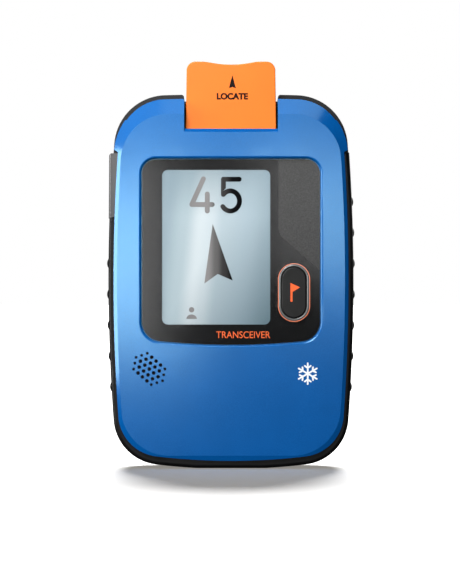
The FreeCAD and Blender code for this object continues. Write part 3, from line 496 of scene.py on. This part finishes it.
def dress_nodes():
    """Gives every CAD node the material of its slot, or one of its own."""
    materials = {slot: make(slot, **options) for slot, (make, options) in SLOTS.items()}
    special = {
        "speaker_mesh": woven_steel("speaker_cloth"),
        "grip_band": rubbery("grip_rubber", (0.003, 0.003, 0.0032, 1), 0.42, 0.22),
        "usb_cover": rubbery("cover_rubber", (0.006, 0.006, 0.0063, 1), 0.40, 1.0),
    }
    for node, axis in COIL_AXES.items():
        special[node] = wound("winding_" + node, axis)
    for part in frame["record"]["subparts"]:
        node = part["node"]
        mesh = NODES[node].data
        mesh.materials.clear()
        mesh.materials.append(special.get(node) or materials[part["material_slot"]])


# ---- Printed marks and screen segments ----

INK_DEPTH = 0.02            # thickness of a printed mark
INK_SUNK = 0.004            # how much of that lies in the surface under it


def curve_mesh(name, data, depth):
    """A flat curve or text as a closed mesh in the XZ plane, depth millimetres thick."""
    data.extrude = depth / 2
    shape = bpy.data.objects.new(name + "_curve", data)
    bpy.context.scene.collection.objects.link(shape)
    bpy.context.view_layer.update()
    graph = bpy.context.evaluated_depsgraph_get()
    mesh = bpy.data.meshes.new_from_object(shape.evaluated_get(graph))
    bpy.data.objects.remove(shape)
    mesh.transform(Matrix.Rotation(math.radians(90), 4, "X"))
    mesh.name = name
    return mesh


def outline_curve(name, loops):
    """A filled flat curve from closed loops of x and z in millimetres."""
    data = bpy.data.curves.new(name + "_outline", "CURVE")
    data.dimensions = "2D"
    data.fill_mode = "BOTH"
    for loop in loops:
        spline = data.splines.new("POLY")
        spline.points.add(len(loop) - 1)
        for point, (x, z) in zip(spline.points, loop):
            point.co = (x, z, 0, 1)
        spline.use_cyclic_u = True
    return data


def place(name, mesh, y, body, material):
    """Makes a piece from a mesh in millimetres, its middle plane at depth y."""
    mesh.transform(Matrix.Diagonal((MM, MM, MM, 1)) @ Matrix.Translation((0, y, 0)))
    piece = bpy.data.objects.new(name, mesh)
    bpy.context.scene.collection.objects.link(piece)
    mesh.materials.clear()
    mesh.materials.append(material)
    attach(piece, body)
    return piece


def flat_piece(name, loops, y, depth, body, material, slot):
    """A flat mark with the given outlines."""
    return place(name, curve_mesh(name, outline_curve(name, loops), depth), y, body, material)


def word(name, text, x0, x1, z0, z1, y, body, material, bold=0.0):
    """Lettering scaled to fill a box."""
    data = bpy.data.curves.new(name + "_text", "FONT")
    data.body = text
    data.size = z1 - z0
    data.offset = bold * data.size
    mesh = curve_mesh(name, data, INK_DEPTH)
    xs = [v.co.x for v in mesh.vertices]
    zs = [v.co.z for v in mesh.vertices]
    scale_x = (x1 - x0) / (max(xs) - min(xs))
    scale_z = (z1 - z0) / (max(zs) - min(zs))
    for vertex in mesh.vertices:
        vertex.co.x = x0 + (vertex.co.x - min(xs)) * scale_x
        vertex.co.z = z0 + (vertex.co.z - min(zs)) * scale_z
    return place(name, mesh, y, body, material)


def arc_points(x, z, radius_x, radius_z, start, end, steps):
    """Points round an ellipse from one angle to another, in degrees."""
    points = []
    for i in range(steps + 1):
        angle = math.radians(start + (end - start) * i / steps)
        points.append((x + radius_x * math.cos(angle), z + radius_z * math.sin(angle)))
    return points


CAP_STEPS = 8               # points round the end of a stroke
BEND_ANGLE = 12.0           # degrees between points round a bend


def heading(vector):
    """The direction that a flat vector points in, in degrees."""
    return math.degrees(math.atan2(vector.y, vector.x))


def ribbon(path, width):
    """The outline of a stroke of even width along a path, with round ends and round outer bends."""
    half = width / 2
    points = [Vector(p) for p in path]
    loop = []
    for side in (points, points[::-1]):
        for i in range(len(side) - 1):
            corner = side[i]
            along = (side[i + 1] - corner).normalized()
            normal = Vector((-along.y, along.x))
            if i == 0:
                turn = heading(normal)
                loop += arc_points(corner.x, corner.y, half, half, turn + 180, turn, CAP_STEPS)
                continue
            before = (corner - side[i - 1]).normalized()
            old_normal = Vector((-before.y, before.x))
            outer = before.x * along.y - before.y * along.x < -1e-6
            if outer:
                start = heading(old_normal)
                sweep = math.degrees(old_normal.angle(normal))
                steps = max(1, round(sweep / BEND_ANGLE))
                loop += arc_points(corner.x, corner.y, half, half, start, start - sweep, steps)
            else:
                middle = (old_normal + normal).normalized()
                loop.append(tuple(corner + middle * half / max(0.2, middle.dot(normal))))
    return loop


def united(name, meshes):
    """One closed mesh from several that overlap."""
    base = bpy.data.objects.new(name + "_base", meshes[0])
    bpy.context.scene.collection.objects.link(base)
    for i, mesh in enumerate(meshes[1:]):
        other = bpy.data.objects.new(f"{name}_part{i}", mesh)
        bpy.context.scene.collection.objects.link(other)
        join = base.modifiers.new("join", "BOOLEAN")
        join.operation = "UNION"
        join.solver = "EXACT"
        join.object = other
        bpy.context.view_layer.update()
        graph = bpy.context.evaluated_depsgraph_get()
        merged = bpy.data.meshes.new_from_object(base.evaluated_get(graph))
        base.modifiers.clear()
        base.data = merged
        bpy.data.objects.remove(other)
    result = base.data
    bpy.data.objects.remove(base)
    result.name = name
    return result


STROKE_STEP = 0.001         # each stroke of a piece is this much thicker than the last, so no faces coincide


def strokes(name, paths, width, y, depth, body, material, slot):
    """A piece made of round-ended strokes."""
    meshes = []
    for i, path in enumerate(paths):
        part = f"{name}_{i}"
        outline = outline_curve(part, [ribbon(path, width)])
        meshes.append(curve_mesh(part, outline, depth + STROKE_STEP * i))
    return place(name, united(name, meshes), y, body, material)


DIGIT_STROKE = 1.57
DIGIT_HEIGHT = 10.4
DIGIT_TOP = SCREEN_Z + 22.05
DIGIT_LOW = DIGIT_TOP - DIGIT_HEIGHT


def four_paths():
    """A slanted side that turns into the crossbar, and a short stem."""
    right = SCREEN_X - 1.25
    left = right - 6.6
    peak = right - 2.85
    bar = DIGIT_LOW + 2.1
    stem = right - 1.6
    stem_top = DIGIT_TOP - 4.9
    return [[(peak, DIGIT_TOP), (left, bar), (right, bar)], [(stem, stem_top), (stem, DIGIT_LOW)]]


def five_paths():
    """A top bar whose left end drops into the bowl."""
    left = SCREEN_X + 2.35
    top = DIGIT_TOP - 0.15
    bowl_width = 2.95
    bowl_height = 3.25
    bowl = arc_points(left + 2.25, DIGIT_LOW + bowl_height, bowl_width, bowl_height, 140, -146, 26)
    return [[(left + 5.1, top), (left, top)] + bowl]


def add_screen_segments(material):
    """The distance in metres, the direction arrow and the person icon."""
    where = dict(y=SCREEN_Y - INK_DEPTH, depth=INK_DEPTH, body="housing", material=material, slot="screen")
    strokes("digit_four", four_paths(), DIGIT_STROKE, **where)
    strokes("digit_five", five_paths(), DIGIT_STROKE, **where)

    tip_x = SCREEN_X - 1.1
    tip_z = SCREEN_Z + 7.45
    notch = (tip_x + 1.6, tip_z - 16.1)
    arrow = [(tip_x, tip_z), (tip_x + 6.45, tip_z - 18.2), notch, (tip_x - 2.7, tip_z - 19.2)]
    flat_piece("direction_arrow", [arrow], **where)

    person_x = SCREEN_X - 7.9
    person_z = SCREEN_Z - 20.2
    head_radius = 0.87
    head = arc_points(person_x, person_z, head_radius, head_radius, 0, 345, 23)
    shoulders = arc_points(person_x, person_z - 2.95, 1.7, 1.45, 0, 180, 18)
    flat_piece("person_head_icon", [head], **where)
    flat_piece("person_body_icon", [shoulders], **where)


def add_tab_print(material):
    """A small arrow over a word, on the front of the tab."""
    low, high = box_mm("search_tab")
    y = low.y - INK_DEPTH / 2 + INK_SUNK
    middle = 0.45
    tip = high.z - 4.4
    foot = tip - 4.25
    half_arrow = 1.13
    half_word = 5.05
    arrow = [(middle, tip), (middle + half_arrow, foot), (middle, tip - 3.85), (middle - half_arrow, foot)]
    flat_piece("tab_arrow_print", [arrow], y, INK_DEPTH, "tab", material, "orange_plastic")
    word("tab_word_print", "LOCATE", middle - half_word, middle + half_word, high.z - 12.35, high.z - 10.2, y,
         "tab", material, 0.05)


PANEL_DEPTH = 0.012         # thickness of the grained panel's print
PANEL_INSET = 0.35          # the margin left between the panel and the window's edge
PANEL_CORNER = 4.5
PANEL_BEND = 5.0


def add_window_print(orange, grey):
    """The word under the screen, and the grained panel that narrows towards the button."""
    film_low, _ = box_mm("mask_film")
    _, window_high = box_mm("display_window")
    y = film_low.y - PANEL_DEPTH
    screen_right = SCREEN_X + SCREEN_HALF_WIDTH
    screen_low = SCREEN_Z - SCREEN_HALF_HEIGHT
    word("window_word_print", "TRANSCEIVER", screen_right - 17.4, screen_right, screen_low - 4.4,
         screen_low - 2.2, y, "housing", orange)
    left = SCREEN_X + 20.1
    right = window_high.x - PANEL_INSET
    top = window_high.z - PANEL_INSET
    corner = arc_points(right - PANEL_CORNER, top - PANEL_CORNER, PANEL_CORNER, PANEL_CORNER, 90, 0, 10)
    foot = (right, window_high.z - 35.9)
    bend = arc_points(left + PANEL_BEND, window_high.z - 22.1, PANEL_BEND, PANEL_BEND, 229, 180, 8)
    flat_piece("window_grained_print", [[(left, top)] + corner + [foot] + bend], y, PANEL_DEPTH,
               "housing", grey, "black_print")


def add_flag(material):
    """A pennant on a pole, on the button's key."""
    low, high = box_mm("flag_button")
    pole = (low.x + high.x) / 2 - 0.83
    half_pole = 0.32
    top = (low.z + high.z) / 2 + 3.1
    foot = top - 6.0
    point = (pole + 2.75, top - 1.42)
    flag = [(pole - half_pole, top), point, (pole + half_pole, top - 2.84),
            (pole + half_pole, foot), (pole - half_pole, foot)]
    flat_piece("flag_print", [flag], low.y - INK_DEPTH / 4, INK_DEPTH, "button", material, "key_grey")


SNOWFLAKE_X = 24.7
SNOWFLAKE_Z = 30.6
SNOWFLAKE_ARM = 3.35
SNOWFLAKE_FORK = 1.15
SNOWFLAKE_STROKE = 0.55


def heading_vector(degrees):
    """A flat vector of length one that points in a direction."""
    angle = math.radians(degrees)
    return Vector((math.cos(angle), math.sin(angle)))


def snowflake_paths():
    """Six arms, each with a fork just past its middle."""
    centre = Vector((SNOWFLAKE_X, SNOWFLAKE_Z))
    paths = []
    for k in range(6):
        turn = 60 * k + 30
        direction = heading_vector(turn)
        paths.append([tuple(centre - direction * 0.2), tuple(centre + direction * SNOWFLAKE_ARM)])
        root = centre + direction * SNOWFLAKE_ARM * 0.55
        for side in (-55, 55):
            paths.append([tuple(root), tuple(root + heading_vector(turn + side) * SNOWFLAKE_FORK)])
    return paths


def add_snowflake(material):
    """A plain six-armed snowflake on the lower right of the front, laid on the shell's surface."""
    piece = strokes("snowflake_print", snowflake_paths(), SNOWFLAKE_STROKE, 0, INK_DEPTH, "housing", material,
                    "blue_shell")
    shell = NODES["front_shell"]
    faces = [polygon.vertices for polygon in shell.data.polygons]
    tree = BVHTree.FromPolygons([vertex.co for vertex in shell.data.vertices], faces)
    in_front = -20 * MM
    for vertex in piece.data.vertices:
        surface = tree.ray_cast(Vector((vertex.co.x, in_front, vertex.co.z)), Vector((0, 1, 0)))[0]
        lift = INK_SUNK if vertex.co.y > 0 else INK_SUNK - INK_DEPTH
        vertex.co.y = surface.y + lift * MM


# ---- Studio ----

FLOOR_HALF = 6000.0
FLOOR_GLOW = 0.27
SUN_STRENGTH = 9.0
SUN_WIDTH = 33.0            # degrees that the sun spans, which sets how soft the shadow is
SUN_TILT = -44.5
SURROUND_LIGHT = 0.03


def add_floor():
    """A white floor. Its warm glow sets how grey the middle of the shadow is."""
    mesh = bpy.data.meshes.new("floor")
    side = FLOOR_HALF * MM
    corners = [(-side, -side, 0), (side, -side, 0), (side, side, 0), (-side, side, 0)]
    mesh.from_pydata(corners, [], [(0, 1, 2, 3)])
    floor = bpy.data.objects.new("floor", mesh)
    shader = Shader("floor_white", 0.9, specular=0.1)
    mottle = shader.noise(60.0, 2.0)
    tones = [(0.3, (0.90, 0.90, 0.90, 1)), (0.7, (0.92, 0.92, 0.92, 1))]
    shader.into(shader.ramp(mottle, tones), "Base Color")
    shader.set("Emission Color", (1, 0.955, 0.88, 1))
    shader.set("Emission Strength", FLOOR_GLOW)
    mesh.materials.append(shader.material)
    bpy.context.scene.collection.objects.link(floor)
    floor.visible_diffuse = False
    floor.visible_glossy = False


def receivers(name, wanted):
    """A collection of the pieces that a light is allowed to reach."""
    pieces = bpy.data.collections.new(name)
    for piece in bpy.context.scene.objects:
        if piece.type == "MESH" and wanted(piece):
            pieces.objects.link(piece)
    return pieces


# name: place, point aimed at, width, height, watts
LAMPS = {
    "key": ((-100, -240, 260), (0, 0, 80), 160, 160, 1.25),
    "card_left": ((-150, -950, 80), (-20, 0, 70), 200, 140, 0.92),
    "card_right": ((120, -950, 115), (20, 0, 70), 190, 100, 0.38),
    "card_high": ((-20, -950, 180), (0, 0, 70), 300, 120, 0.12),
    "card_top": ((50, -270, 620), (0, 0, 110), 600, 220, 0.75),
    "card_corner": ((-340, -260, 400), (-20, 0, 100), 500, 500, 0.6),
    "rim_left": ((-450, -170, 100), (0, 0, 60), 200, 260, 1.7),
    "back_light": ((0, 1000, 1400), (0, 0, 60), 800, 800, 26.0),
    "back_card": ((550, 800, 350), (0, 0, 60), 600, 600, 4.5),
}


def add_area(name, location, target, width, height, power, reaches):
    """A rectangular lamp that the camera doesn't see."""
    data = bpy.data.lights.new(name, "AREA")
    data.shape = "RECTANGLE"
    data.size = width * MM
    data.size_y = height * MM
    data.energy = power
    light = bpy.data.objects.new(name, data)
    light.location = Vector(location) * MM
    direction = Vector(target) - Vector(location)
    light.rotation_euler = direction.to_track_quat("-Z", "Y").to_euler()
    light.visible_camera = False
    light.light_linking.receiver_collection = reaches
    bpy.context.scene.collection.objects.link(light)


def add_sun(name, reaches):
    """A wide, strong sun behind the object, which lays a soft shadow in front of it."""
    data = bpy.data.lights.new(name, "SUN")
    data.energy = SUN_STRENGTH
    data.angle = math.radians(SUN_WIDTH)
    light = bpy.data.objects.new(name, data)
    light.rotation_euler = (math.radians(SUN_TILT), 0, 0)
    light.light_linking.receiver_collection = reaches
    bpy.context.scene.collection.objects.link(light)


def add_world():
    """A white surround for the eye that gives only a little light of its own."""
    world = bpy.data.worlds.new("studio")
    bpy.context.scene.world = world
    world.use_nodes = True
    tree = world.node_tree
    background = tree.nodes["Background"]
    path = tree.nodes.new("ShaderNodeLightPath")
    strength = tree.nodes.new("ShaderNodeMapRange")
    strength.inputs["To Min"].default_value = SURROUND_LIGHT
    strength.inputs["To Max"].default_value = 1.0
    tree.links.new(path.outputs["Is Camera Ray"], strength.inputs["Value"])
    tree.links.new(strength.outputs["Result"], background.inputs["Strength"])
    background.inputs["Color"].default_value = (1, 1, 1, 1)


def add_studio():
    """A near key above left, cards that the glossy faces mirror, and a sun behind for the shadow."""
    add_floor()
    add_world()
    piece = receivers("object_pieces", lambda part: part.name != "floor")
    floor = receivers("floor_only", lambda part: part.name == "floor")
    for name, (location, target, width, height, power) in LAMPS.items():
        add_area(name, location, target, width, height, power, piece)
    add_sun("shadow_sun", floor)
    bpy.context.scene.view_settings.view_transform = "Standard"


add_camera()
dress_nodes()
add_screen_segments(screen_ink("screen_ink"))
add_tab_print(ink("tab_ink", TAB_INK))
add_window_print(ink("orange_ink", ORANGE_INK), grained_print("grained_print"))
add_flag(ink("flag_ink", FLAG_INK))
add_snowflake(ink("white_ink", WHITE_INK))
add_studio()
